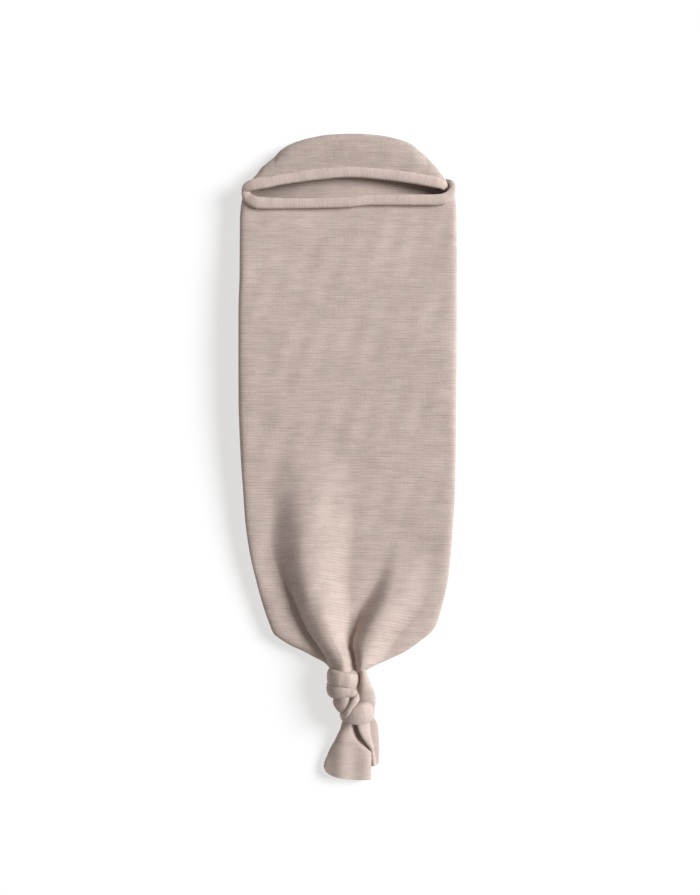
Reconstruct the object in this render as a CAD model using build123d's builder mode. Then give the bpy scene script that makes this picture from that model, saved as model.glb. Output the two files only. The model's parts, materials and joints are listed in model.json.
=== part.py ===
from build123d import *
import os
from math import atan2, cos, degrees, radians, sin, sqrt, tan

# Knitted baby sleeping bag, lying empty on its back. One seamless knitted tube:
# a domed hood, a face opening with a rolled hem above and below it, a long pouch
# for the body, and a foot end that is gathered and tied in an overhand knot, with
# the end of the tube left as a loose folded tail.
#
# X runs across the bag, Y from the tail to the crown of the hood, and Z up from
# the surface it lies on. The origin is the middle of its footprint. Millimetres.

# Lengths along the bag
hood_length = 70.0  # corners of the face opening to the crown of the hood
body_length = 570.0  # neck of the knot to the corners of the face opening
knot_length = 66.0  # neck to the root of the tail
tail_length = 70.0  # root of the tail to its end

# Pouch and hood
bag_width = 260.0
bag_height = 34.0  # how high the empty pouch lies
wall = 3.0  # thickness of the knit
fold_radius = 14.0  # outer radius of the folds along both sides
taper_length = 272.0  # from the neck up to where the sides begin to draw in
foot_width = 200.0  # between the foot corners, before they are rounded
foot_rise = 42.0  # foot corners above the neck
foot_shift = 5.0  # the foot and the neck lie a little to +X
foot_radius = 26.0
shoulder_rise = 4.5  # above the corners, where the hood's outline turns inwards
shoulder_radius = 22.0
dome_width = 152.0  # the shallow arch across the top of the hood
dome_rise = 58.5  # its ends, above the corners
dome_radius = 28.0

# Face opening: a roll of knit along the hood's rim and one along the chest
hem_width = 13.0
hem_height = 9.0
hem_inset = 19.0  # ends of the rolls, from the sides of the bag
hem_lift = 2.5  # how far the rolls stand above the pouch
hood_hem_rise = 10.5  # roll's middle line at its ends, above the corners
hood_hem_arch = 10.0  # how much further the hood's roll arches up
chest_hem_drop = 14.5  # roll's middle line at its ends, below the corners
chest_hem_sag = 3.0  # how much lower the chest's roll hangs in the middle
flap_length = 180.0  # part of the front that lifts along with the chest roll

# Gathered neck
gather_length = 36.0  # where the tube bunches up, above the neck
neck_width = 60.0
neck_height = 42.0
neck_round = 13.0
neck_pivot_rise = 12.0  # the knot swings about a point this far above the neck
neck_ledge = 1.0  # how much narrower the neck's rounded end is, on each side

# Overhand knot: an upper turn, a lower turn and a strand down the +X side
upper_turn_width = 43.0
upper_turn_length = 9.0  # below the neck's rounded end
upper_turn_height = 44.0
lower_turn_inset = 4.0  # narrower than the upper turn, on each side
lower_turn_height = 40.0
strand_height = 36.0
strand_stop = 16.0  # the strand's lower end, above the tail's root
turn_round = 9.0
strand_round = 7.0

# Tail: the flattened end of the tube, folded into a front and a back layer
tail_shift = 10.0  # middle of the tail's root
front_root_width = 30.0
front_end_width = 56.0
front_end_shift = -11.0  # middle of the end, from the middle of the root
front_layer = 8.0
back_layer = 7.0
back_root_width = 22.0
back_end_width = 36.0
back_length = 42.0
back_inset = 10.0  # below the tail's root
back_overhang = 11.0  # beyond the front layer's +X edge
tail_corner = 7.0

# Travel that the bends leave room for, in degrees
hood_travel = 40.0
knot_travel = 15.0
travel_margin = 2.0

clearance = 0.3  # between pieces that move past each other
seam = 0.2  # between pieces that lie against each other

# Places worked out from the above
half_width = bag_width / 2
half_height = bag_height / 2
hem_span = bag_width - 2 * hem_inset
crown_y = (hood_length + body_length + knot_length + tail_length) / 2
corner_y = crown_y - hood_length
shoulder_y = corner_y + shoulder_rise
neck_y = corner_y - body_length
tail_y = neck_y - knot_length
foot_y = neck_y + foot_rise
taper_y = neck_y + taper_length
gather_y = neck_y + gather_length
pivot_y = neck_y + neck_pivot_rise
pivot_radius = sqrt((neck_width / 2 - neck_ledge) ** 2 + neck_pivot_rise**2)
chest_hem_y = corner_y - chest_hem_drop
hood_hem_y = corner_y + hood_hem_rise
hem_z = bag_height + hem_lift - hem_height / 2
flap_y = chest_hem_y - flap_length
flap_half = half_width - fold_radius
far = body_length + bag_width  # past every side of the bag


def bend_region(side, radius):
    """Everything on one side of the hood's bend: side is 1 for the hood and -1
    for the pouch. The bend is a line across the bag at half its height. Below it
    the two sides part straight down, and above it they lean away from each other
    by half the hood's travel. The hood owns the round joint about that line."""
    lean = tan(radians((hood_travel + travel_margin) / 2))
    top = bag_height + hem_height
    with BuildPart() as region:
        with BuildSketch(Plane.YZ):
            with BuildLine():
                Polyline(
                    (corner_y, -bag_height),
                    (corner_y, half_height),
                    (corner_y + side * lean * (top - half_height), top),
                    (corner_y + side * far, top),
                    (corner_y + side * far, -bag_height),
                    close=True,
                )
            make_face()
            with Locations((corner_y, half_height)):
                Circle(radius, mode=Mode.ADD if side > 0 else Mode.SUBTRACT)
        extrude(amount=far, both=True)
    return region.part


def hem_roll(end_y, arch):
    """A roll of knit across the face opening, bowed up or down by its arch."""
    half_span = hem_span / 2
    with BuildPart() as roll:
        with BuildLine() as middle_line:
            ThreePointArc(
                (-half_span, end_y, hem_z),
                (0, end_y + arch, hem_z),
                (half_span, end_y, hem_z),
            )
        start = middle_line.line @ 0
        along = middle_line.line % 0
        with BuildSketch(Plane(start, x_dir=(0, 0, 1), z_dir=along)):
            Ellipse(hem_height / 2, hem_width / 2)
        sweep()
    return roll.part


# Outline of the pouch and hood, seen from above
with BuildSketch() as plan:
    with BuildLine():
        right_side = Line((half_width, shoulder_y), (half_width, taper_y))
        left_side = Line((-half_width, shoulder_y), (-half_width, taper_y))
        right_taper = TangentArc(
            right_side @ 1, (foot_shift + foot_width / 2, foot_y), tangent=(0, -1)
        )
        left_taper = TangentArc(
            left_side @ 1, (foot_shift - foot_width / 2, foot_y), tangent=(0, -1)
        )
        neck = Line(
            (foot_shift + neck_width / 2, neck_y), (foot_shift - neck_width / 2, neck_y)
        )
        Line(right_taper @ 1, neck @ 0)
        Line(neck @ 1, left_taper @ 1)
        dome = ThreePointArc(
            (dome_width / 2, corner_y + dome_rise),
            (0, crown_y),
            (-dome_width / 2, corner_y + dome_rise),
        )
        Line(right_side @ 0, dome @ 0)
        Line(left_side @ 0, dome @ 1)
    make_face()
    rounded_corners = {
        foot_y: foot_radius,
        shoulder_y: shoulder_radius,
        corner_y + dome_rise: dome_radius,
    }
    for corner_height, radius in rounded_corners.items():
        nearby = (corner_height - 1, corner_height + 1)
        fillet(plan.vertices().filter_by_position(Axis.Y, *nearby), radius)

# The knitted shell of the pouch and hood, closed off where the gathers begin
with BuildPart() as outer_shape:
    add(plan.sketch)
    extrude(amount=bag_height)
    fillet(outer_shape.faces().filter_by(Axis.Z).edges(), fold_radius)
    split(bisect_by=Plane.XZ.offset(-gather_y), keep=Keep.BOTTOM)

with BuildPart() as inner_space:
    with BuildSketch(Plane.XY.offset(wall)):
        add(plan.sketch)
        offset(amount=-wall, kind=Kind.INTERSECTION)
    extrude(amount=bag_height - 2 * wall)
    fillet(inner_space.faces().filter_by(Axis.Z).edges(), fold_radius - wall)
    split(bisect_by=Plane.XZ.offset(-gather_y - wall), keep=Keep.BOTTOM)

with BuildPart() as shell:
    add(outer_shape.part)
    add(inner_space.part, mode=Mode.SUBTRACT)

# The rolled hems
with BuildPart() as hood_hem:
    add(hem_roll(hood_hem_y, hood_hem_arch))

with BuildPart() as chest_hem:
    add(hem_roll(chest_hem_y, -chest_hem_sag))

# The part of the front that the face opening and its two rolls take up
with BuildPart() as face_cut:
    with BuildSketch(Plane.XY.offset(half_height)):
        with BuildLine():
            rim = ThreePointArc(
                (-hem_span / 2 - clearance, hood_hem_y),
                (0, hood_hem_y + hood_hem_arch),
                (hem_span / 2 + clearance, hood_hem_y),
            )
            Polyline(
                rim @ 0,
                (-hem_span / 2 - clearance, chest_hem_y),
                (hem_span / 2 + clearance, chest_hem_y),
                rim @ 1,
            )
        make_face()
    extrude(amount=bag_height)
    add(hood_hem.part)

# Hood: everything past the bend, in a back and a front half
with BuildPart() as hood_back:
    add(shell.part)
    add(bend_region(1, half_height), mode=Mode.INTERSECT)
    split(bisect_by=Plane.XY.offset(half_height), keep=Keep.BOTTOM)

with BuildPart() as hood_front:
    add(shell.part)
    add(bend_region(1, half_height), mode=Mode.INTERSECT)
    split(bisect_by=Plane.XY.offset(half_height), keep=Keep.TOP)
    add(face_cut.part, mode=Mode.SUBTRACT)

# Pouch: a back half, a front half with a fold along each side of the chest, and
# the flap of the chest that lifts along with its roll to open the bag
with BuildPart() as back_panel:
    add(shell.part)
    add(bend_region(-1, half_height + clearance), mode=Mode.INTERSECT)
    split(bisect_by=Plane.XY.offset(half_height), keep=Keep.BOTTOM)

with BuildPart() as front_half:
    add(shell.part)
    add(bend_region(-1, half_height + clearance), mode=Mode.INTERSECT)
    split(bisect_by=Plane.XY.offset(half_height), keep=Keep.TOP)

with BuildPart() as front_panel:
    add(front_half.part)
    split(bisect_by=Plane.XZ.offset(clearance - flap_y), keep=Keep.TOP)

with BuildPart() as chest_side_left:
    add(front_half.part)
    split(bisect_by=Plane.XZ.offset(clearance - flap_y), keep=Keep.BOTTOM)
    split(bisect_by=Plane.YZ.offset(-flap_half), keep=Keep.BOTTOM)

with BuildPart() as chest_side_right:
    add(front_half.part)
    split(bisect_by=Plane.XZ.offset(clearance - flap_y), keep=Keep.BOTTOM)
    split(bisect_by=Plane.YZ.offset(flap_half), keep=Keep.TOP)

with BuildPart() as chest_flap:
    with BuildSketch(Plane.XY.offset(bag_height - wall)):
        with Locations((0, (flap_y + chest_hem_y) / 2)):
            Rectangle(2 * (flap_half - clearance), flap_length)
    extrude(amount=wall)
    add(chest_hem.part, mode=Mode.SUBTRACT)

# Gathered neck: the tube bunches from the flat pouch into a thick end, rounded
# about the point that the knot swings on
gather_face = outer_shape.faces().filter_by(Axis.Y).sort_by(Axis.Y)[0]
gather_box = gather_face.bounding_box()

with BuildPart() as gathered_neck:
    with BuildSketch(Plane.XZ.offset(-gather_y)):
        with Locations((gather_box.center().X, half_height)):
            RectangleRounded(gather_box.size.X, bag_height, fold_radius)
    with BuildSketch(Plane.XZ.offset(-neck_y)) as neck_section:
        with Locations((foot_shift, neck_height / 2)):
            RectangleRounded(neck_width, neck_height, neck_round)
    loft()
    add(neck_section.sketch)
    extrude(amount=pivot_radius, dir=(0, -1, 0))
    with BuildSketch():
        with Locations((foot_shift, neck_y + far)):
            Rectangle(2 * far, 2 * far)
        with Locations((foot_shift, pivot_y)):
            Circle(pivot_radius)
    extrude(amount=neck_height, mode=Mode.INTERSECT)

# Room for the knot to swing about the rounded end of the neck
neck_reach = degrees(atan2(neck_width / 2, neck_pivot_rise))
knot_reach = radians(neck_reach - knot_travel - travel_margin)
with BuildPart() as swing_room:
    with BuildSketch():
        with BuildLine():
            Polyline(
                (foot_shift, pivot_y),
                (foot_shift + far * sin(knot_reach), pivot_y - far * cos(knot_reach)),
                (foot_shift + far, pivot_y + far),
                (foot_shift - far, pivot_y + far),
                (foot_shift - far * sin(knot_reach), pivot_y - far * cos(knot_reach)),
                close=True,
            )
        make_face()
        with Locations((foot_shift, pivot_y)):
            Circle(pivot_radius + clearance)
    extrude(amount=upper_turn_height)

# Knot
turn_left = foot_shift - neck_width / 2
turn_right = turn_left + upper_turn_width
upper_turn_end = pivot_y - pivot_radius - upper_turn_length
strand_end = tail_y + strand_stop


def knot_block(low_corner, high_corner, rounding):
    """A rounded block of gathered knit between two corners."""
    low = Vector(low_corner)
    high = Vector(high_corner)
    size = high - low
    with BuildPart() as block:
        with Locations((low + high) / 2):
            Box(size.X, size.Y, size.Z)
        fillet(block.edges(), rounding)
    return block.part


with BuildPart() as knot_upper_turn:
    low = (turn_left, upper_turn_end, 0)
    high = (turn_right, neck_y + turn_round, upper_turn_height)
    add(knot_block(low, high, turn_round))
    add(swing_room.part, mode=Mode.SUBTRACT)

with BuildPart() as knot_lower_turn:
    low = (turn_left + lower_turn_inset, tail_y, 0)
    high = (turn_right - lower_turn_inset, upper_turn_end - seam, lower_turn_height)
    add(knot_block(low, high, turn_round))

with BuildPart() as knot_side_strand:
    low = (turn_right + seam, strand_end, 0)
    high = (turn_left + neck_width, neck_y + strand_round, strand_height)
    add(knot_block(low, high, strand_round))
    add(swing_room.part, mode=Mode.SUBTRACT)

# Tail, which lifts about a line across its root
lift_radius = front_layer / 2
lift_y = tail_y - clearance - lift_radius
lift_z = back_layer + seam + lift_radius
end_y = tail_y - tail_length
end_x = tail_shift + front_end_shift

with BuildPart() as tail_front:
    with BuildSketch(Plane.XY.offset(back_layer + seam)) as front_plan:
        with BuildLine():
            Polyline(
                (tail_shift + front_root_width / 2, lift_y),
                (end_x + front_end_width / 2, end_y),
                (end_x - front_end_width / 2, end_y),
                (tail_shift - front_root_width / 2, lift_y),
                close=True,
            )
        make_face()
        fillet(front_plan.vertices().group_by(Axis.Y)[0], tail_corner)
    extrude(amount=front_layer)
    with Locations(Location((tail_shift, lift_y, lift_z), (0, 90, 0))):
        Cylinder(lift_radius, front_root_width)

back_top = tail_y - back_inset
back_right = end_x + front_end_width / 2 + back_overhang
with BuildPart() as tail_back:
    with BuildSketch() as back_plan:
        with BuildLine():
            Polyline(
                (tail_shift + front_root_width / 2, back_top),
                (back_right, back_top - back_length),
                (back_right - back_end_width, back_top - back_length),
                (tail_shift + front_root_width / 2 - back_root_width, back_top),
                close=True,
            )
        make_face()
        fillet(back_plan.vertices().group_by(Axis.Y)[0], tail_corner)
    extrude(amount=back_layer)

pieces = {
    "back_panel": back_panel,
    "front_panel": front_panel,
    "chest_side_left": chest_side_left,
    "chest_side_right": chest_side_right,
    "chest_flap": chest_flap,
    "chest_hem": chest_hem,
    "hood_back": hood_back,
    "hood_front": hood_front,
    "hood_hem": hood_hem,
    "gathered_neck": gathered_neck,
    "knot_upper_turn": knot_upper_turn,
    "knot_lower_turn": knot_lower_turn,
    "knot_side_strand": knot_side_strand,
    "tail_front": tail_front,
    "tail_back": tail_back,
}
os.makedirs("parts", exist_ok=True)
for name, piece in pieces.items():
    piece.part.label = name
    export_step(piece.part, f"parts/{name}.step")
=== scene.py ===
import json
import math

import bmesh
import bpy
import numpy as np
from bpy.props import FloatProperty, FloatVectorProperty, PointerProperty
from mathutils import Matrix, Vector


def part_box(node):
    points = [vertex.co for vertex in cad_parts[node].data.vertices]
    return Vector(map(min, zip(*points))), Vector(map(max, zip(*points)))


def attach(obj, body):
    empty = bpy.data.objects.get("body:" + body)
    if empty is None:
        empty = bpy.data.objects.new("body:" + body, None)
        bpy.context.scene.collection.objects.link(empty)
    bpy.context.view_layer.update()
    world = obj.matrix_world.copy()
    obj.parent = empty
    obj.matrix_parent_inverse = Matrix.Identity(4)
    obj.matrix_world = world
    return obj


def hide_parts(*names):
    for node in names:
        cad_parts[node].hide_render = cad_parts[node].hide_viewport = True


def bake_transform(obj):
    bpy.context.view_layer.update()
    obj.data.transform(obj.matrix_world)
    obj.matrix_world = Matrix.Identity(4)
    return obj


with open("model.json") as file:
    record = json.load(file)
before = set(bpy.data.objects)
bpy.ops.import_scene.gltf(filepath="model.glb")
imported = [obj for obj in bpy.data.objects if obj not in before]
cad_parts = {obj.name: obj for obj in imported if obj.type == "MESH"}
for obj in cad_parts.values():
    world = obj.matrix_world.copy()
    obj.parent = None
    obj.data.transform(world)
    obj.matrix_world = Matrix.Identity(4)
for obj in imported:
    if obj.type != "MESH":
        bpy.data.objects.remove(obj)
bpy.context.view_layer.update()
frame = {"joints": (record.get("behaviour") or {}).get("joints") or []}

bl_info = {
    "name": "Knitted Baby Sleeping Bag",
    "version": (1, 0, 0),
    "blender": (4, 5, 0),
    "location": "View3D > Sidebar > Baby Bag",
    "description": "Builds a knitted cocoon sleeping bag tied in a knot, in the CAD model's frame",
    "category": "Add Mesh",
}

MM = 0.001

# Where the bag bends: across the corners of the mouth, across the front below the
# chest, and at the neck above the knot
HINGES = {joint["name"]: joint for joint in frame["joints"]}
FLAP_Y = HINGES["mouth_lift"]["pos_m"][1]
NECK_BELOW_FRONT = 36 * MM
NECK_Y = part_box("front_panel")[0].y - NECK_BELOW_FRONT

# Knit below the first height settles towards the second
SETTLING_HEIGHT = 2.5 * MM
FLOOR_GAP = 0.4 * MM

# Corners closer than the first distance are joined, edges shorter than the second
# go, and faces that meet more sharply than the angle aren't shaded as one
SAME_PLACE = 0.01 * MM
NO_LENGTH = 0.001 * MM
SHARP_ANGLE = math.radians(60)


class BagSettings(bpy.types.PropertyGroup):
    """Sizes and colours of the bag that a user would change."""

    knit_thickness: FloatProperty(
        name="Knit thickness",
        description="Thickness of one layer of the knit",
        default=2.6 * MM,
        unit="LENGTH",
    )
    course_pitch: FloatProperty(
        name="Course pitch",
        description="Distance from one row of stitches to the next",
        default=3.5 * MM,
        unit="LENGTH",
    )
    hem_width: FloatProperty(
        name="Hem width",
        description="Width of the rolled hems around the face opening",
        default=13.0 * MM,
        unit="LENGTH",
    )
    hem_height: FloatProperty(
        name="Hem height",
        description="Height of the rolled hems",
        default=10.0 * MM,
        unit="LENGTH",
    )
    pink_wool: FloatVectorProperty(
        name="Warm wool",
        description="Colour of the wool where it is warmest",
        default=(0.545, 0.438, 0.395),
        subtype="COLOR",
        min=0.0,
        max=1.0,
    )
    grey_wool: FloatVectorProperty(
        name="Cool wool",
        description="Colour of the wool where it is greyest",
        default=(0.525, 0.434, 0.385),
        subtype="COLOR",
        min=0.0,
        max=1.0,
    )


def settings():
    """The sizes and colours that are set for the bag."""
    return bpy.context.scene.baby_bag


# ---------------------------------------------------------------- helpers


def curve(*points):
    """A smooth function through points (where, value), flat past both ends."""
    where = np.array([point[0] for point in points], float)
    value = np.array([point[1] for point in points], float)
    chords = np.diff(value) / np.diff(where)
    slopes = np.zeros(len(where))
    for i in range(1, len(where) - 1):
        if chords[i - 1] * chords[i] > 0:
            slopes[i] = 2 * chords[i - 1] * chords[i] / (chords[i - 1] + chords[i])
    slopes[0], slopes[-1] = chords[0], chords[-1]

    def at(t):
        t = np.clip(np.asarray(t, float), where[0], where[-1])
        i = np.clip(np.searchsorted(where, t) - 1, 0, len(where) - 2)
        step = where[i + 1] - where[i]
        p = (t - where[i]) / step
        rise = value[i] * (1 + 2 * p) * (1 - p) ** 2 + value[i + 1] * p * p * (3 - 2 * p)
        return rise + step * p * (1 - p) * (slopes[i] * (1 - p) - slopes[i + 1] * p)

    return at


def waves(x, y, seed, length, count=7):
    """A gentle unevenness between about -1 and 1, with waves of about a length."""
    draw = np.random.default_rng(seed)
    total = np.zeros(np.broadcast(x, y).shape)
    for _ in range(count):
        angle, phase = draw.uniform(0, 2 * math.pi, 2)
        pitch = length * draw.uniform(0.7, 1.6)
        along = x * math.cos(angle) + y * math.sin(angle)
        total += np.sin(2 * math.pi * along / pitch + phase)
    return total / math.sqrt(count)


def above_floor(z):
    """Heights that settle softly onto the floor instead of going through it."""
    depth = (np.minimum(z, SETTLING_HEIGHT) - SETTLING_HEIGHT) / SETTLING_HEIGHT
    low = FLOOR_GAP + (SETTLING_HEIGHT - FLOOR_GAP) * np.exp(depth)
    return np.where(z < SETTLING_HEIGHT, low, z)


def shaped_grid(columns, rows, place, knit, region=None):
    """A grid of faces whose corners place(u, v) puts in space, with u and v from 0
    to 1, and whose stitches run along knit(u, v), in metres. region(u, v) may give
    each face a number, kept in the layer Region."""
    shape = bmesh.new()
    bmesh.ops.create_grid(shape, x_segments=columns, y_segments=rows, size=1)
    corners = list(shape.verts)
    u = np.array([(corner.co.x + 1) / 2 for corner in corners])
    v = np.array([(corner.co.y + 1) / 2 for corner in corners])
    x, y, z = place(u, v)
    across, along = knit(u, v)
    stitches = shape.loops.layers.uv.new("Knit")
    regions = shape.faces.layers.int.new("Region")
    for face in shape.faces:
        middle = face.calc_center_median()
        face[regions] = region((middle.x + 1) / 2, (middle.y + 1) / 2) if region else 0
        for loop in face.loops:
            i = loop.vert.index
            loop[stitches].uv = (across[i], along[i])
    for corner, ax, ay, az in zip(corners, x, y, z):
        corner.co = (ax, ay, az)
    return shape


def close_seams(shape):
    """Joins the ends of a grid where they meet, and turns its faces outwards."""
    bmesh.ops.remove_doubles(shape, verts=shape.verts, dist=SAME_PLACE)
    bmesh.ops.recalc_face_normals(shape, faces=shape.faces)


def finish_piece(shape, name, cloth, thickness=0.0):
    """Turns a bmesh into a named object with a material, given a wall if asked."""
    bmesh.ops.remove_doubles(shape, verts=shape.verts, dist=SAME_PLACE)
    bmesh.ops.dissolve_degenerate(shape, edges=shape.edges, dist=NO_LENGTH)
    if thickness:
        bmesh.ops.solidify(shape, geom=shape.faces[:], thickness=thickness)
    for edge in shape.edges:
        sharp = len(edge.link_faces) == 2 and edge.calc_face_angle(0) > SHARP_ANGLE
        edge.smooth = not sharp
    for face in shape.faces:
        face.smooth = True
    mesh = bpy.data.meshes.new(name)
    shape.to_mesh(mesh)
    shape.free()
    mesh.materials.append(cloth)
    piece = bpy.data.objects.new(name, mesh)
    bpy.context.scene.collection.objects.link(piece)
    return piece


def cut_out(shape, number):
    """A copy of a bmesh with only the faces of one region."""
    part = shape.copy()
    regions = part.faces.layers.int["Region"]
    others = [face for face in part.faces if face[regions] != number]
    bmesh.ops.delete(part, geom=others, context="FACES")
    return part


# ---------------------------------------------------------------- materials


class Socket:
    """A node's output, on which Python's operators add Math nodes."""

    def __init__(self, nodes, socket):
        self.nodes = nodes
        self.socket = socket

    def math(self, operation, *values):
        return self.nodes.add("ShaderNodeMath", list(values), operation=operation)

    def __add__(self, other):
        return self.math("ADD", self, other)

    def __sub__(self, other):
        return self.math("SUBTRACT", self, other)

    def __mul__(self, other):
        return self.math("MULTIPLY", self, other)

    def __truediv__(self, other):
        return self.math("DIVIDE", self, other)

    def __rsub__(self, other):
        return self.math("SUBTRACT", other, self)

    def __pow__(self, other):
        return self.math("POWER", self, other)

    __radd__ = __add__
    __rmul__ = __mul__


class Nodes:
    """The node tree of one material or world."""

    def __init__(self, owner):
        owner.use_nodes = True
        self.tree = owner.node_tree
        self.tree.nodes.clear()

    def add(self, kind, inputs=(), output=0, **options):
        """Adds a node: its options first, then the values or links of its sockets,
        as a list or as a dictionary of socket names. Returns one output."""
        node = self.tree.nodes.new(kind)
        for option, value in options.items():
            setattr(node, option, value)
        pairs = inputs.items() if isinstance(inputs, dict) else enumerate(inputs)
        for key, value in pairs:
            if isinstance(value, Socket):
                self.tree.links.new(value.socket, node.inputs[key])
            else:
                node.inputs[key].default_value = value
        return Socket(self, node.outputs[output]) if node.outputs else None

    def mix(self, share, first, second):
        """Mixes two colours, each a socket or a linear (r, g, b)."""
        colours = [c if isinstance(c, Socket) else (*c, 1.0) for c in (first, second)]
        inputs = {0: share, 6: colours[0], 7: colours[1]}
        return self.add("ShaderNodeMix", inputs, 2, data_type="RGBA")

    def split(self, vector):
        """The first two parts of a vector."""
        first = self.add("ShaderNodeSeparateXYZ", [vector])
        return first, Socket(self, first.socket.node.outputs["Y"])

    def spread(self, value, low, high):
        """A value spread out, so that low becomes 0 and high becomes 1."""
        inputs = {"Value": value, "From Min": low, "From Max": high}
        return self.add("ShaderNodeMapRange", inputs)

    def noise(self, vector, scale, detail, roughness=0.5):
        """Noise between 0 and 1."""
        inputs = {"Vector": vector, "Scale": scale, "Detail": detail, "Roughness": roughness}
        return self.add("ShaderNodeTexNoise", inputs)

    def uneven(self, vector, scale, detail, roughness=0.5):
        """Noise on both sides of 0."""
        return self.noise(vector, scale, detail, roughness) - 0.5


# How far rows of stitches stray from a straight line, over long and over short
# stretches, how wide a column of stitches is for each mm between rows, and how deep
# the stitches are
SLOW_WANDER = 6.0 * MM
QUICK_WANDER = 1.2 * MM
WALE_SHARE = 0.62
STITCH_DEPTH = 0.8 * MM

# How much the tone of the wool changes with long streaks and single threads along
# the rows, with stripes along the columns, which show a little in any knit, with
# flecks, blotches and clouds, and how much painted shade darkens the gaps between
# rows and between columns of stitches
STREAK_TONE = 0.27
THREAD_TONE = 0.20
STRIPE_TONE = 0.18
LEAST_STRIPE = 0.06
FLECK_TONE = 0.20
BLOTCH_TONE = 0.32
CLOUD_TONE = 0.20
ROW_GAP_SHADE = 0.08
COLUMN_GAP_SHADE = 0.04


def knit_material(name, courses=1.0, streaks=1.0, wales=0.5, grain=0.9, depth=1.0, shade=1.0):
    """Heathered wool knit. Rows of stitches follow the piece's own UV map, whose
    second axis runs from one row to the next. courses and wales say how strongly
    the rows and the columns of stitches show, partly as painted shade in the gaps
    between them, streaks how uneven the yarn is along the rows, grain how speckled
    it is, depth how deep the rows are, and shade how light the wool is."""
    bag = settings()
    material = bpy.data.materials.new(name)
    nodes = Nodes(material)
    place = nodes.add("ShaderNodeUVMap", uv_map="Knit")
    across, along = nodes.split(place)

    # Rows of stitches wander a little and show more in some places than in others
    slow = nodes.uneven(place, 13.0, 1.0) * SLOW_WANDER
    quick = nodes.uneven(place, 90.0, 1.0) * QUICK_WANDER
    wander = slow + quick
    row = (along + wander) / bag.course_pitch
    ridge = row.math("SINE", row.math("FRACT", row) * math.pi)
    column = (across + wander) / (WALE_SHARE * bag.course_pitch)
    wale = column.math("SINE", column.math("FRACT", column) * math.pi)
    patch = nodes.spread(nodes.noise(place, 34.0, 2.0), 0.42, 0.62)
    # Painted shade: the gaps between rows are darkened, more in some patches than in others
    row_gap_shade = (1.0 - ridge) ** 2.0 * (0.35 + patch)

    # Yarn of uneven colour lies along the rows, and a little along the columns
    lengthwise = nodes.add("ShaderNodeCombineXYZ", [across * 0.09, along, 0.0])
    upright = nodes.add("ShaderNodeCombineXYZ", [across, along * 0.12, 5.0])
    streak = nodes.uneven(lengthwise, 260.0, 2.0, 0.6)
    thread = nodes.uneven(lengthwise, 620.0, 1.0, 0.5)
    stripe = nodes.uneven(upright, 330.0, 2.0, 0.6)
    fleck = nodes.uneven(place, 520.0, 2.0, 0.6)
    smear = nodes.add("ShaderNodeCombineXYZ", [across * 0.4, along, 2.0])
    blotch = nodes.uneven(smear, 120.0, 3.0, 0.6)
    cloud = nodes.uneven(smear, 24.0, 3.0, 0.55)
    tone = streak * (STREAK_TONE * streaks) + thread * (THREAD_TONE * streaks)
    tone = tone + stripe * (STRIPE_TONE * wales + LEAST_STRIPE)
    tone = tone + fleck * (FLECK_TONE * grain) + blotch * BLOTCH_TONE + cloud * CLOUD_TONE
    # Painted shade darkens the gaps between rows and between columns of stitches
    tone = tone - row_gap_shade * (ROW_GAP_SHADE * courses) - (1.0 - wale) * (COLUMN_GAP_SHADE * wales)
    tone = (tone + (1.0 + 0.03 * courses)) * shade

    hue = nodes.spread(nodes.noise(place, 42.0, 3.0), 0.35, 0.65)
    wool = nodes.mix(hue, bag.grey_wool, bag.pink_wool)
    colour = nodes.add("ShaderNodeVectorMath", {0: wool, "Scale": tone}, operation="SCALE")

    height = ridge * (0.45 * depth) + wale * (0.22 * wales) + fleck * 0.8 + thread * 0.9 + blotch
    bump = nodes.add("ShaderNodeBump", {"Strength": 0.38, "Distance": STITCH_DEPTH, "Height": height})
    rough = nodes.add("ShaderNodeMapRange", {"Value": blotch + 0.5, "To Min": 0.86, "To Max": 0.98})
    surface = nodes.add(
        "ShaderNodeBsdfPrincipled",
        {
            "Base Color": colour,
            "Roughness": rough,
            "Normal": bump,
            "Specular IOR Level": 0.15,
            "Sheen Weight": 0.18,
            "Sheen Roughness": 0.45,
            "Sheen Tint": (0.95, 0.88, 0.82, 1.0),
        },
    )
    nodes.add("ShaderNodeOutputMaterial", [surface])
    return material


def material(name, **strengths):
    """The named knit, made the first time that it is asked for."""
    return bpy.data.materials.get(name) or knit_material(name, **strengths)


# ---------------------------------------------------------------- pouch and hood

# Outline of the bag: how far above the neck, and how far from the middle, in mm
LEFT_SIDE = curve(
    (-12, -17), (0, -23), (5, -28), (11, -39.4), (18, -52.4), (25, -67.8), (32.4, -80.2), (39.6, -89),
    (54, -95), (68, -100), (104, -110), (140, -118), (176, -122.8), (212, -125.3), (248, -127.8),
    (284, -129.5), (320, -130.5), (428, -130.5), (470, -129.3), (537, -129), (551, -128),
    (562, -126.5), (570, -126), (577, -122), (584, -116), (591.6, -109), (599, -104), (606, -96),
    (613, -87.5),
)
RIGHT_SIDE = curve(
    (-12, 16), (-6, 21), (-3, 25), (0, 30), (3.6, 38), (11, 55), (18, 69.6), (25, 80.2),
    (32.4, 89.8), (39.6, 99), (46.8, 105), (54, 108.3), (68, 112.5), (104, 120.8), (140, 124.5),
    (176, 127), (212, 129), (284, 130), (500, 131), (550, 130.5), (565, 128.5), (575, 125), (584, 118.5),
    (591.6, 112.5), (599, 107.5), (606, 101), (613, 95),
)

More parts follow.
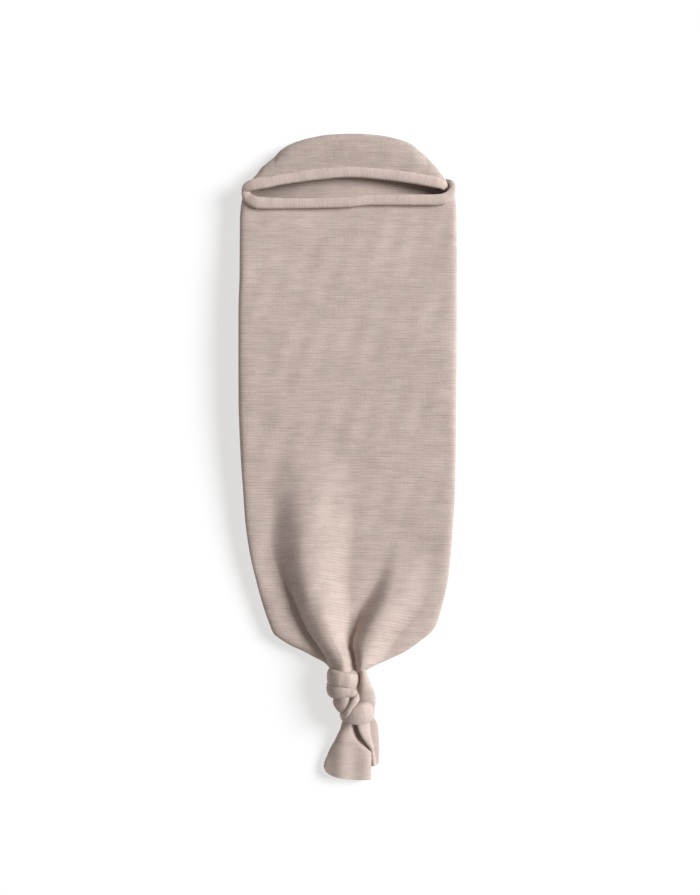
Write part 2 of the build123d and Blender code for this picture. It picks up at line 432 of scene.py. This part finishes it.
# Rows of the pouch, in mm above the neck: its lowest, the top of its gathered part,
# the rims of the mouth, where the front and the back of the hood start to close, and
# its highest, which is bent to the crown: a height over the distance from the middle
FIRST_ROW = -12.0
GATHERED_TOP = 250.0
CHEST_RIM = 557.5
HOOD_RIM = 581.0
CLOSING_ROW = 590.0
LAST_ROW = 613.0
CROWN = curve(
    (-87.5, 613), (-81, 620.4), (-69, 628), (-58, 632.3), (-47.4, 635.3), (-20, 640), (8.6, 641),
    (37.4, 639), (57, 635.3), (68, 632), (77.4, 627.8), (86, 620.4), (95, 613),
)

# The share of the half width that the mouth opens, and the share of the grid's
# columns that lie on the front
RIM_REACH = 0.945
FRONT_SHARE = 0.65

# Heights in mm over the distance above the neck: of the front's middle, of the side
# edges, and of the back's middle where it is pulled up towards the mouth
TOP_HEIGHT = curve(
    (-12, 26), (0, 26), (14, 23), (44, 20), (80, 20), (104, 21), (152, 24), (220, 28), (300, 33),
    (375.5, 35), (460, 33), (520, 30), (557, 28), (581, 28), (613, 25),
)
SIDE_HEIGHT = curve(
    (-12, 17), (0, 16), (40, 13), (100, 16), (200, 22), (300, 26), (375.5, 29), (460, 27), (520, 24),
    (560, 22), (613, 14),
)
LIFT = curve((-12, 6), (0, 3), (15, 0), (400, 0), (556, 18), (590, 17), (613, 0))

# How flat the front stays before it turns down at its sides, and how far the rows
# bow upwards in the middle, in mm
SQUARENESS = curve((-12, 2.2), (10, 2.8), (50, 9), (120, 26), (300, 36), (560, 36), (613, 7))
BACK_SQUARENESS = 14
SIDE_SLOPE = 0.05
ROW_BOW = curve((540, 0), (557, 0.5), (581, 10.5), (613, 10.5))

# Unevenness of the front, as heights in mm, seeds and wave lengths in mm
FRONT_UNEVENNESS = ((0.6, 3, 95.0), (0.3, 8, 34.0))

# The hood's rows bend to the crown's line at this rate
HOOD_POWER = 1.6

# A fold's gentle side leaves its crest at this rate. Its trough is this wide in mm
# outside its foot, and within it this share of the steep side. It leans furthest at
# this share of the steep side
GENTLE_POWER = 1.1
TROUGH_WIDTH = 16.0
TROUGH_SHARE = 0.4
LEAN_PEAK = 0.1


def lengthwise_fold(edge, crest, end, height, steepness, trough, overhang):
    """A fold that runs up from the neck. Each argument is a curve over the distance
    above the neck: the foot of its steep side, its crest, the end of its gentle
    side, its height, how close to its foot the steep side rises, how deep the
    trough beside it is, and how far its steep side leans over its foot. Returns its
    rise and its lean."""

    def rise(x, above):
        foot, top, far = edge(above), crest(above), end(above)
        steep = np.clip((x - foot) / (top - foot), 0, 1)
        gentle = np.clip((x - top) / (far - top), 0, 1) ** GENTLE_POWER
        across = np.where(x < top, steep ** steepness(above), 1 + gentle)
        dip = (x - foot) / np.where(x < foot, TROUGH_WIDTH, TROUGH_SHARE * (top - foot))
        hill = height(above) * (0.5 - 0.5 * np.cos(np.pi * across))
        lean = overhang(above) * (steep / LEAN_PEAK) * np.exp(1 - steep / LEAN_PEAK)
        return hill - trough(above) * np.exp(-0.5 * dip**2), lean

    rise.foot = edge
    return rise


LEFT_FOLD = lengthwise_fold(
    edge=curve(
        (-12, -19), (8, -24), (14, -27), (26, -35), (44, -47.5), (62, -56), (80, -64), (92, -71),
        (104, -78), (128, -88), (152, -94), (200, -94), (280, -90),
    ),
    crest=curve(
        (-12, -7), (8, -7), (14, -8), (26, -14), (44, -24), (62, -32), (80, -37), (104, -45), (128, -48),
        (152, -50), (200, -49), (280, -45),
    ),
    end=curve(
        (-12, 10), (0, 10), (14, 8), (26, 5), (44, 5), (62, 5), (80, 5), (104, 4), (128, 6), (152, 10),
        (280, 4),
    ),
    height=curve(
        (-12, 5), (0, 12), (14, 17), (44, 18), (80, 19), (104, 19), (152, 17), (200, 10), (225, 6),
        (280, 0),
    ),
    steepness=curve((-12, 0.3), (62, 0.3), (80, 0.36), (92, 0.46), (104, 0.6), (128, 0.85), (152, 1)),
    trough=curve((-12, 0), (8, 1), (40, 4), (104, 4), (138, 2), (190, 1), (280, 0)),
    overhang=curve((-12, 1), (8, 1.5), (62, 2), (80, 1.2), (96, 0)),
)
RIGHT_FOLD = lengthwise_fold(
    edge=curve(
        (-12, 12), (0, 11.5), (14, 9.5), (26, 6.5), (36, 8), (44, 10), (62, 12.5), (80, 21), (104, 34),
        (125, 42), (150, 50),
    ),
    crest=curve(
        (-12, 17), (14, 20), (26, 23), (44, 30), (62, 40), (80, 50), (104, 57), (125, 62), (150, 66),
    ),
    end=curve(
        (-12, 28), (8, 44), (26, 56), (44, 68), (62, 84), (80, 95), (104, 104), (125, 108), (150, 110),
    ),
    height=curve(
        (-12, 5), (0, 12), (14, 15), (44, 16), (62, 14.5), (80, 11), (104, 5.5), (125, 2), (150, 0),
    ),
    steepness=curve((-12, 0.32), (36, 0.36), (44, 0.42), (62, 0.65), (80, 0.9), (104, 1)),
    trough=curve((-12, 0), (8, 2), (44, 4), (73, 3), (110, 1), (150, 0)),
    overhang=curve((-12, 1), (8, 1.5), (36, 1.5), (52, 0)),
)

# The columns of the grid that are moved to the feet of the two folds, as shares of
# the half width, and how far out they may go
FOLD_COLUMNS = (-0.696, 0.383)
FOOT_REACH = 0.97


def between_folds(share, left_foot, right_foot):
    """Moves the columns of the grid sideways, so that one runs along each fold's foot."""
    left, right = FOLD_COLUMNS
    outer_left = -1 + (share + 1) * (left_foot + 1) / (left + 1)
    inner = left_foot + (share - left) * (right_foot - left_foot) / (right - left)
    outer_right = 1 - (1 - share) * (1 - right_foot) / (1 - right)
    return np.where(share < left, outer_left, np.where(share < right, inner, outer_right))


def sheet_point(side, share, above):
    """A point of the pouch: side is 1 on the front and -1 on the back, share runs
    from -1 at the left edge to 1 at the right, and above is in mm."""
    left, right = LEFT_SIDE(above), RIGHT_SIDE(above)
    middle, half = (left + right) / 2, (right - left) / 2
    feet = [(fold.foot(above) - middle) / half for fold in (LEFT_FOLD, RIGHT_FOLD)]
    share = between_folds(share, *[np.clip(foot, -FOOT_REACH, FOOT_REACH) for foot in feet])
    x = middle + share * half
    edge = np.abs(share)
    hood = np.clip((above - HOOD_RIM) / (LAST_ROW - HOOD_RIM), 0, 1) ** HOOD_POWER
    y = above + ROW_BOW(above) * (1 - edge**2) * (1 - hood) + hood * (CROWN(x) - LAST_ROW)
    closing = np.clip((above - CLOSING_ROW) / (LAST_ROW - CLOSING_ROW), 0, 1)
    swell = np.sqrt(np.clip(1 - edge ** SQUARENESS(above), 0, 1)) * np.sqrt(1 - closing**3)
    swell = swell * (1 - SIDE_SLOPE * edge**2)
    side_height = SIDE_HEIGHT(above)
    left_rise, left_lean = LEFT_FOLD(x, above)
    right_rise, right_lean = RIGHT_FOLD(x, above)
    folds = (left_rise + right_rise) * swell
    x = x - np.where(side > 0, left_lean + right_lean, 0.0)
    uneven = sum(height * waves(x, y, seed, length) for height, seed, length in FRONT_UNEVENNESS)
    front = side_height + (TOP_HEIGHT(above) - side_height + uneven) * swell + folds
    flat = np.sqrt(np.clip(1 - edge**BACK_SQUARENESS, 0, 1)) * np.sqrt(1 - closing**5)
    back = side_height * (1 - flat) + LIFT(above) * (1 - edge**2)
    z = np.where(side > 0, front, back)
    return x * MM, NECK_Y + y * MM, above_floor(z * MM)


# Which of the grid's rows, from 0 to 1, lie how far above the neck in mm, up to the
# row from which they close in on the crown
ROW_MARKS = (0, 0.2, 0.86)
ROW_PLACES = (FIRST_ROW, 80, 560)


def row_at(v):
    """Distance above the neck of each row of the grid, closer together at the top."""
    last_mark, last_place = ROW_MARKS[-1], ROW_PLACES[-1]
    top = np.clip((v - last_mark) / (1 - last_mark), 0, 1)
    eased = 0.5 * top + 0.5 * np.sin(top * np.pi / 2)
    below = np.interp(v, ROW_MARKS, ROW_PLACES)
    return np.where(v > last_mark, last_place + (LAST_ROW - last_place) * eased, below)


def around(u):
    """Side and share across of each column of the grid: front first, then back."""
    front = u < FRONT_SHARE
    turn = np.where(front, 2 * u / FRONT_SHARE - 1, 1 - 2 * (u - FRONT_SHARE) / (1 - FRONT_SHARE))
    return np.where(front, 1, -1), np.sin(turn * np.pi / 2)


# What the tube is cut into, and the columns and rows of its grid
REGIONS = ("mouth", "lower", "back", "front", "hood", "chest_left", "chest_right")
POUCH_GRID = (360, 300)


def pouch_region(u, v):
    """The number of the region that a face of the pouch belongs to."""
    side, share = around(u)
    row = row_at(v)
    if side < 0:
        name = "lower" if row < GATHERED_TOP else "back"
    elif CHEST_RIM < row < HOOD_RIM and abs(share) < RIM_REACH:
        name = "mouth"
    elif row > (CHEST_RIM + HOOD_RIM) / 2:
        name = "hood"
    elif row < GATHERED_TOP:
        name = "lower"
    elif row < (FLAP_Y - NECK_Y) / MM:
        name = "front"
    else:
        name = "chest_left" if share < 0 else "chest_right"
    return REGIONS.index(name)


# Rows of stitches bend upwards over a fold by this share of its height. The back's
# stitches are taken this far from the front's, in metres, so that they differ
ROW_CLIMB = 0.3
BACK_OFFSET = 0.5


class BAG_OT_pouch(bpy.types.Operator):
    """Build the pouch and the hood"""

    bl_idname = "baby_bag.pouch"
    bl_label = "Pouch and Hood"

    def execute(self, context):
        def place(u, v):
            side, share = around(u)
            return sheet_point(side, share, row_at(v))

        def knit(u, v):
            side, share = around(u)
            row = row_at(v)
            x, y, z = sheet_point(side, share, row)
            rise = (LEFT_FOLD(x / MM, row)[0] + RIGHT_FOLD(x / MM, row)[0]) * ROW_CLIMB * MM
            return x + np.where(side > 0, 0.0, BACK_OFFSET), y - np.where(side > 0, rise, 0.0)

        tube = shaped_grid(*POUCH_GRID, place, knit, pouch_region)
        close_seams(tube)
        body_knit = material("body_knit")
        hood_knit = material("hood_knit", courses=0.7, wales=1.0, grain=2.4, depth=0.8, shade=0.9)
        made = {}
        for name in REGIONS[1:]:
            part = cut_out(tube, REGIONS.index(name))
            cloth = hood_knit if name == "hood" else body_knit
            made[name] = finish_piece(part, f"pouch_{name}", cloth, settings().knit_thickness)
        tube.free()

        for name in ("back", "hood"):
            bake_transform(made[name])
        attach(made["front"], "bag")
        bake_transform(made["lower"])
        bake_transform(made["chest_left"])
        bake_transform(made["chest_right"])
        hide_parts("back_panel", "hood_back")
        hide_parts("front_panel")
        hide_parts("gathered_neck")
        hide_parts("hood_front")
        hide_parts("chest_flap", "chest_side_left")
        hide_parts("chest_flap", "chest_side_right")
        return {"FINISHED"}


# ---------------------------------------------------------------- rolls and strands


def smooth_path(points, steps):
    """Points along a smooth line through a few chosen ones (x, y, z), in mm."""
    points = np.array(points, float)
    lengths = np.concatenate([[0], np.cumsum(np.linalg.norm(np.diff(points, axis=0), axis=1))])
    axes = [curve(*zip(lengths, points[:, k])) for k in range(3)]
    t = np.linspace(0, lengths[-1], steps)
    return np.stack([axis(t) for axis in axes], axis=1), t


# Faces around a strand, its unevenness as a height and a wave length in mm, and the
# share of its half width over which its ends are rounded
STRAND_SIDES = 48
STRAND_UNEVENNESS = 0.15
STRAND_WAVE = 22.0
STRAND_ROUNDING = 0.7


def strand(
    name, points, widths, heights, core, cloth, steps=160, ripple=0.0, seed=1, halves=(), squash=0.7
):
    """A rolled or flattened tube of knit along a line through points, in mm from
    the middle of the neck. Its flat side faces away from core(path), which gives a
    point for each point of the line. widths and heights are its half sizes at each
    point, ripple how strongly it is pleated, and squash how flat its top is, where
    less is flatter. With two names in halves it becomes two pieces that meet in the
    middle of the bag."""
    path, run = smooth_path(points, steps)
    marks = np.linspace(0, run[-1], len(widths))
    if len(widths) == len(points):
        gaps = np.linalg.norm(np.diff(np.array(points, float), axis=0), axis=1)
        marks = np.concatenate([[0], np.cumsum(gaps)])
    width = curve(*zip(marks, widths))
    height = curve(*zip(marks, heights))
    tangent = np.gradient(path, axis=0)
    tangent /= np.linalg.norm(tangent, axis=1, keepdims=True)
    outward = path - np.array(core(path))
    outward -= (outward * tangent).sum(1, keepdims=True) * tangent
    outward /= np.linalg.norm(outward, axis=1, keepdims=True)
    sideways = np.cross(tangent, outward)

    def place(u, v):
        turn = 2 * np.pi * u
        at = v * (steps - 1)
        low = np.clip(np.floor(at).astype(int), 0, steps - 2)
        share = (at - low)[:, None]

        def along(values):
            return values[low] * (1 - share) + values[low + 1] * share

        centre, side, out = along(path), along(sideways), along(outward)
        t = v * run[-1]
        rounding = np.maximum(STRAND_ROUNDING * width(t), 0.1)
        cap = np.clip(np.minimum(t, run[-1] - t) / rounding, 0, 1)
        cap = np.sqrt(1 - (1 - cap) ** 2)
        pleat = 1 + ripple * np.sin(3 * turn + 0.05 * t + seed) + 0.5 * ripple * np.sin(5 * turn - 0.08 * t)
        a = (width(t) * cap * pleat)[:, None]
        b = (height(t) * cap * pleat)[:, None]
        flat = np.sign(np.sin(turn)) * np.abs(np.sin(turn)) ** squash
        point = centre + side * a * np.cos(turn)[:, None] + out * b * flat[:, None]
        point[:, 2] += STRAND_UNEVENNESS * waves(point[:, 0], point[:, 1], seed, STRAND_WAVE) * cap
        return point[:, 0] * MM, NECK_Y + point[:, 1] * MM, above_floor(point[:, 2] * MM)

    def knit(u, v):
        girth = widths[len(widths) // 2] * 4
        return girth * u * MM, v * run[-1] * MM

    def half(u, v):
        return int(path[int(v * (steps - 1)), 0] > 0)

    shape = shaped_grid(STRAND_SIDES, steps - 1, place, knit, half)
    close_seams(shape)
    if not halves:
        return finish_piece(shape, name, cloth)
    parts = [cut_out(shape, 0), cut_out(shape, 1)]
    shape.free()
    return [finish_piece(part, f"{name}_{end}", cloth) for part, end in zip(parts, halves)]


def below(depth):
    """A core that lies straight below every point of a path."""
    return lambda path: path - np.array([0, 0, depth])


class BAG_OT_hems(bpy.types.Operator):
    """Build the rolled hems around the face opening"""

    bl_idname = "baby_bag.hems"
    bl_label = "Rolled Hems"

    def execute(self, context):
        bag = settings()
        half, tall = bag.hem_width / MM / 2, bag.hem_height / MM / 2
        roll_knit = material("hem_knit", courses=0.2, streaks=0.35, wales=0.5, depth=0.4, shade=1.12)
        hood = strand(
            "hood_roll",
            [(-120.5, 563, 22), (-122, 569.4, 24), (-120, 574.5, 27), (-112, 577.6, 29.5),
             (-98.7, 579.4, 30.5), (-83.7, 582.6, 30.5), (-64, 585.8, 30.5), (-45, 588.6, 30.5),
             (3, 592.3, 30.5), (63, 587.2, 30.5), (90, 583, 30.5), (104, 580.4, 30),
             (110.5, 578.9, 28.5), (115, 576.6, 25.5), (117, 573.5, 20)],
            [half * k for k in (0.72, 0.74, 0.86, 1.03, 0.98, 0.95, 0.97, 1.0, 0.96, 1.0, 1.02, 1.0,
                                0.92, 0.74, 0.5)],
            [tall * k for k in (0.9, 0.95, 1, 1, 1, 1, 1, 1, 1, 1, 1, 1, 0.95, 0.85, 0.7)],
            below(10), roll_knit, steps=280, seed=4, squash=0.42,
        )
        left, right = strand(
            "chest_roll",
            [(-120.5, 575, 25), (-122, 569.4, 24), (-120.3, 564.2, 25), (-115, 559, 28),
             (-106, 555.8, 30), (-91, 555.2, 30.5), (-64, 555.1, 30.5), (-30, 555.6, 30.5),
             (0, 556.8, 30.5), (28, 559.2, 30.5), (69, 559.2, 30.5), (100, 559.2, 30.5),
             (111, 559.8, 30.2), (119, 562.5, 29.5), (124.2, 568.5, 28), (125.8, 574.5, 26.5),
             (124.2, 580, 23), (118, 583.5, 16)],
            [half * k for k in (0.68, 0.76, 0.85, 1.0, 1.1, 1.05, 0.98, 0.97, 1.0, 1.0, 1.0, 1.0, 1.0,
                                0.96, 0.78, 0.56, 0.5, 0.42)],
            [tall * k for k in (0.9, 0.95, 1, 1, 1, 1, 1, 1, 1, 1, 1, 1, 1, 1, 1, 0.95, 0.85, 0.6)],
            below(10), roll_knit, steps=380, seed=5, halves=("left", "right"), squash=0.42,
        )
        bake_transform(hood)
        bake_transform(left)
        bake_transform(right)
        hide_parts("hood_hem")
        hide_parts("chest_hem")
        return {"FINISHED"}


# Sideways place and height of the knot's middle in mm. A full turn starts at the
# first angle, runs past its start by the second, and has this many points
KNOT_MIDDLE = (0.0, 21.0)
TURN_START = 0.3
TURN_END = 0.9
TURN_POINTS = 15


def knot_core(path):
    """The line along Y through the middle of the knot."""
    core = path.copy()
    core[:, 0] = KNOT_MIDDLE[0]
    core[:, 2] = KNOT_MIDDLE[1]
    return core


def ring(middle, reach, slant):
    """Points of a turn around the knot: its middle (x, y, z), its reach in x and z,
    and how much it slants along y for each mm in x."""
    points = []
    for turn in np.linspace(TURN_START, 2 * math.pi + TURN_END, TURN_POINTS):
        x = middle[0] + reach[0] * math.cos(turn)
        y = middle[1] + slant * reach[0] * math.cos(turn)
        points.append((x, y, middle[2] + reach[1] * math.sin(turn)))
    return points


class BAG_OT_knot(bpy.types.Operator):
    """Build the overhand knot"""

    bl_idname = "baby_bag.knot"
    bl_label = "Overhand Knot"

    def execute(self, context):
        knit = material("knot_knit", courses=0.3, streaks=0.5, wales=0.6, depth=0.5)
        upper = strand(
            "knot_upper_wrap", ring((-4.5, -13.5, 22.5), (15, 14.5), -0.16),
            [9.6] * TURN_POINTS, [5.6] * TURN_POINTS, knot_core, knit, ripple=0.02, seed=11,
        )
        bulge = strand(
            "knot_left_wrap",
            [(-19.5, -20, 14), (-19.5, -25, 23), (-13, -28, 31), (-4, -28.5, 34), (5, -29.5, 34),
             (12, -31, 28)],
            [7, 8.5, 9, 7.8, 6, 4], [5, 6, 6.5, 6.5, 6, 4], knot_core, knit, ripple=0.02, seed=13,
        )
        lobe = strand(
            "knot_left_lobe",
            [(-7, -26, 19), (-6.8, -33, 25), (-6.6, -38.5, 28.5), (-5, -44.5, 30.5), (-2.8, -52, 29.5),
             (-3.4, -59, 24)],
            [11, 12.2, 12, 10, 6.4, 3.4], [6, 7.5, 8, 8, 7, 4], knot_core, knit, ripple=0.02, seed=17,
        )
        thin = strand(
            "knot_thin_strand",
            [(14, -27, 28), (11.5, -34, 35), (7, -41, 38), (2.5, -49.5, 38), (-2.5, -57.5, 33),
             (-4, -61, 26)],
            [3, 4.2, 4.4, 4.0, 3.2, 2.6], [3, 4, 4.5, 4.5, 4, 3], knot_core, knit, seed=14,
        )
        side = strand(
            "knot_side_strand",
            [(14, 8, 17), (17, -1, 23), (19.2, -9, 28.5), (21.2, -21.6, 32), (22.6, -33, 32.5),
             (22.2, -41, 29), (20, -50, 21)],
            [4, 4, 4.6, 7.4, 10.6, 11.6, 9], [5, 6, 7, 7, 7.5, 7.5, 6], below(10), knit,
            ripple=0.02, seed=15,
        )
        lower = strand(
            "knot_lower_wrap",
            [(12, -48, 8), (20, -50, 11), (25.5, -50.2, 20), (24.5, -50.8, 28.5), (18.5, -53.4, 34),
             (10.5, -56, 35.5), (3, -58, 33.5), (-2.5, -59, 27), (-5, -56, 16)],
            [10, 12, 12.5, 13, 13.6, 12.4, 9, 5.5, 5], [6, 7, 7.5, 7.5, 7.5, 7, 6, 5, 5], knot_core, knit,
            ripple=0.02, seed=12, squash=0.55,
        )
        filling = strand(
            "knot_inside",
            [(2, 0, 20), (3, -15, 21), (6, -35, 22), (9, -48, 20), (8, -62, 16)],
            [12, 17, 18, 16, 9], [11, 12, 13, 12, 8], below(10), knit, seed=16,
        )
        for piece in (upper, bulge, lobe, thin, side, lower, filling):
            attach(piece, "knot")
        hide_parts("knot_upper_turn")
        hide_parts("knot_lower_turn")
        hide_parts("knot_side_strand")
        return {"FINISHED"}


# Columns and rows of a layer of the tail, how round it is at its edges, and its
# unevenness as a height in mm, a seed and a wave length in mm
TAIL_GRID = (96, 70)
TAIL_ROUNDNESS = 1.05
TAIL_UNEVENNESS = (0.3, 21, 30.0)


def tail_layer(
    name, left, right, rows, drop, middle_height, half_height, cloth, ridge=None, thickness=1.8
):
    """A flattened tube of knit lying along Y, over rows from and to a distance below
    the neck in mm. left and right are its edges and middle_height and half_height
    its heights over that distance, drop is how far its end is drawn back over the
    sideways place, and ridge(x, depth) raises it."""

    def place(u, v):
        turn = 2 * np.pi * u
        depth = rows[0] + (rows[1] - rows[0]) * v
        low, high = left(depth), right(depth)
        share = np.cos(turn)
        x = (low + high) / 2 + (high - low) / 2 * share
        y = -depth + drop(x) * v**2
        flat = np.sign(np.sin(turn)) * np.abs(np.sin(turn)) ** TAIL_ROUNDNESS
        z = middle_height(depth) + half_height(depth) * flat
        if ridge:
            z = z + ridge(x, depth)
        height, seed, length = TAIL_UNEVENNESS
        z = z + height * waves(x, y, seed, length)
        return x * MM, NECK_Y + y * MM, above_floor(z * MM)

    def knit(u, v):
        x, y, z = place(u, v)
        return x, y

    shape = shaped_grid(*TAIL_GRID, place, knit)
    close_seams(shape)
    return finish_piece(shape, name, cloth, thickness * MM)


# Over the distance below the neck in mm: where the front layer starts to fall into
# the dark fold, how deep it falls, and the high line of the side flap
CREASE = curve((60, 9), (79, 14), (89, 20), (102, 29), (137, 30))
CREASE_DEPTH = curve((60, 9), (85, 9), (98, 4), (104, 0.5), (137, 0))
FLAP_LINE = curve((48, 14), (66, 18.5), (79, 22.5), (92, 27.2), (118, 32.5))
CREASE_WIDTH = 12
FLAP_SLOPE = -0.45

# Sideways place and width of the back layer's corner, and how far it is drawn back
CORNER_START = 31
CORNER_WIDTH = 7
CORNER_BEND = 4


def front_ridge(x, depth):
    """The front layer's soft lengthwise waves, and its fall into the dark fold."""
    fall = np.clip((x - (CREASE(depth) - CREASE_WIDTH)) / CREASE_WIDTH, 0, 1)
    waviness = np.cos((x + 8) / 5.0) * np.clip((depth - 60) / 30, 0, 1)
    return waviness - CREASE_DEPTH(depth) * fall**2


def flap_ridge(x, depth):
    """The side flap slopes down away from the front layer."""
    return FLAP_SLOPE * (x - FLAP_LINE(depth))


def straight_end(x):
    """No bend of the end."""
    return 0 * x


def drawn_back_corner(x):
    """The end's right corner is drawn back a little."""
    return np.clip((x - CORNER_START) / CORNER_WIDTH, 0, 1) ** 2 * CORNER_BEND


class BAG_OT_tail(bpy.types.Operator):
    """Build the loose folded tail"""

    bl_idname = "baby_bag.tail"
    bl_label = "Tail"

    def execute(self, context):
        knit = material("tail_knit", courses=0.4, streaks=0.5, wales=0.5, depth=0.5)
        front = tail_layer(
            "tail_front_layer",
            left=curve(
                (48, -4), (61, -5), (68, -7), (75.6, -9), (82.8, -12.4), (90, -15.4), (97, -19),
                (104.4, -22.2), (111.6, -24.5), (118.8, -26.6), (126, -27.8), (137, -28.8),
            ),
            right=curve(
                (48, 6), (61, 8), (70, 9.5), (83, 13.5), (91.6, 20.5), (98.6, 26.8), (103, 28.8),
                (110, 29), (137, 28.2),
            ),
            rows=(48, 136.8),
            drop=curve((-29, 16.5), (-26, 9.5), (-20, 5.5), (-11.4, 3), (0, 1), (12, 0)),
            middle_height=curve((48, 13), (70, 12), (100, 9.5), (137, 8.5)),
            half_height=curve((48, 6), (61, 7), (80, 7), (137, 6.5)),
            cloth=knit,
            ridge=front_ridge,
        )
        flap = tail_layer(
            "tail_side_flap",
            left=curve(
                (48, 11), (69, 12.4), (83, 17), (91.6, 22.6), (98.6, 27), (106, 28.8), (120.5, 30.5),
            ),
            right=curve((48, 24), (69, 25.5), (83, 27.2), (98, 30.8), (120.5, 33.8)),
            rows=(48, 120.5),
            drop=straight_end,
            middle_height=curve((48, 14), (70, 15), (88, 14), (98, 11), (104, 7), (120, 6)),
            half_height=curve((48, 3), (90, 2.6), (118, 2.2)),
            cloth=knit,
            ridge=flap_ridge,
            thickness=1.2,
        )
        back = tail_layer(
            "tail_back_layer",
            left=curve((48, 6), (70, 6), (121, 6)),
            right=curve((48, 28), (60, 31), (68, 35.5), (80, 37.6), (100, 38.4), (121, 38)),
            rows=(48, 121),
            drop=drawn_back_corner,
            middle_height=curve((48, 7), (70, 5), (118, 4.2)),
            half_height=curve((48, 4), (118, 3.6)),
            cloth=knit,
        )
        for piece in (front, flap, back):
            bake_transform(piece)
        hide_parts("tail_front")
        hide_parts("tail_back")
        return {"FINISHED"}


# ---------------------------------------------------------------- cloth


class BAG_OT_cloth(bpy.types.Operator):
    """Does nothing: it states no size for any piece of cloth"""

    bl_idname = "baby_bag.cloth"
    bl_label = "Cloth Sizes"

    def execute(self, context):
        return {"FINISHED"}


# ---------------------------------------------------------------- stage

FLOOR_RADIUS = 9.0
FLOOR_SIDES = 64
FLOOR_GREY = (0.42, 0.42, 0.42, 1)
FLOOR_GLOW = 0.60
WHITE = (1.0, 1.0, 1.0)
SKY_TINT = (1.0, 0.955, 0.92)
SKY_STRENGTH = 0.27
LAMP_DIRECTION = (-0.80, -0.21, -0.575)
LAMP_ENERGY = 4.05
LAMP_TINT = (0.98, 1.0, 1.02)
LAMP_ANGLE = math.radians(30)

# How much the camera sees from top to bottom at the height of the bag, and the
# middle of what it sees, in metres
VIEW_HEIGHT = 1.074
VIEW_MIDDLE = (0.003, 0.0114, 0.02)


class BAG_OT_stage(bpy.types.Operator):
    """Set up the floor, the lights and the camera"""

    bl_idname = "baby_bag.stage"
    bl_label = "Stage"

    def execute(self, context):
        scene = context.scene
        shape = bmesh.new()
        bmesh.ops.create_circle(shape, cap_ends=True, segments=FLOOR_SIDES, radius=FLOOR_RADIUS)
        mesh = bpy.data.meshes.new("floor")
        shape.to_mesh(mesh)
        shape.free()
        floor = bpy.data.objects.new("floor", mesh)
        scene.collection.objects.link(floor)
        paint = bpy.data.materials.new("white_floor")
        nodes = Nodes(paint)
        surface = nodes.add(
            "ShaderNodeBsdfPrincipled",
            {
                "Base Color": FLOOR_GREY,
                "Roughness": 0.9,
                "Specular IOR Level": 0.1,
                "Emission Color": (*WHITE, 1),
                "Emission Strength": FLOOR_GLOW,
            },
        )
        nodes.add("ShaderNodeOutputMaterial", [surface])
        mesh.materials.append(paint)

        world = bpy.data.worlds.new("studio")
        scene.world = world
        nodes = Nodes(world)
        path = nodes.add("ShaderNodeLightPath", output="Is Camera Ray")
        strength = path * (1.0 - SKY_STRENGTH) + SKY_STRENGTH
        tint = nodes.mix(path, SKY_TINT, WHITE)
        sky = nodes.add("ShaderNodeBackground", {"Color": tint, "Strength": strength})
        nodes.add("ShaderNodeOutputWorld", [sky])

        lamp = bpy.data.lights.new("key", "SUN")
        lamp.angle = LAMP_ANGLE
        lamp.energy = LAMP_ENERGY
        lamp.color = LAMP_TINT
        holder = bpy.data.objects.new("key", lamp)
        holder.rotation_euler = Vector(LAMP_DIRECTION).to_track_quat("-Z", "Y").to_euler()
        scene.collection.objects.link(holder)

        lens = bpy.data.cameras.new("camera")
        lens.lens = 85.0
        lens.sensor_width = 36.0
        camera = bpy.data.objects.new("camera", lens)
        distance = VIEW_HEIGHT / (lens.sensor_width * MM) * (lens.lens * MM)
        x, y, z = VIEW_MIDDLE
        camera.location = (x, y, distance + z)
        scene.collection.objects.link(camera)
        scene.camera = camera
        scene.view_settings.view_transform = "Standard"
        return {"FINISHED"}


class BAG_PT_panel(bpy.types.Panel):
    """The bag's builders and settings"""

    bl_label = "Baby Bag"
    bl_space_type = "VIEW_3D"
    bl_region_type = "UI"
    bl_category = "Baby Bag"

    def draw(self, context):
        for name in BagSettings.__annotations__:
            self.layout.prop(context.scene.baby_bag, name)
        for builder in BUILDERS:
            self.layout.operator(builder.bl_idname)


BUILDERS = (BAG_OT_pouch, BAG_OT_hems, BAG_OT_knot, BAG_OT_tail, BAG_OT_cloth, BAG_OT_stage)
CLASSES = (BagSettings, *BUILDERS, BAG_PT_panel)


def register():
    for cls in CLASSES:
        bpy.utils.register_class(cls)
    bpy.types.Scene.baby_bag = PointerProperty(type=BagSettings)


def unregister():
    del bpy.types.Scene.baby_bag
    for cls in reversed(CLASSES):
        bpy.utils.unregister_class(cls)


def main():
    register()
    for builder in BUILDERS:
        group, call = builder.bl_idname.split(".")
        getattr(getattr(bpy.ops, group), call)()


if __name__ == "__main__":
    main()
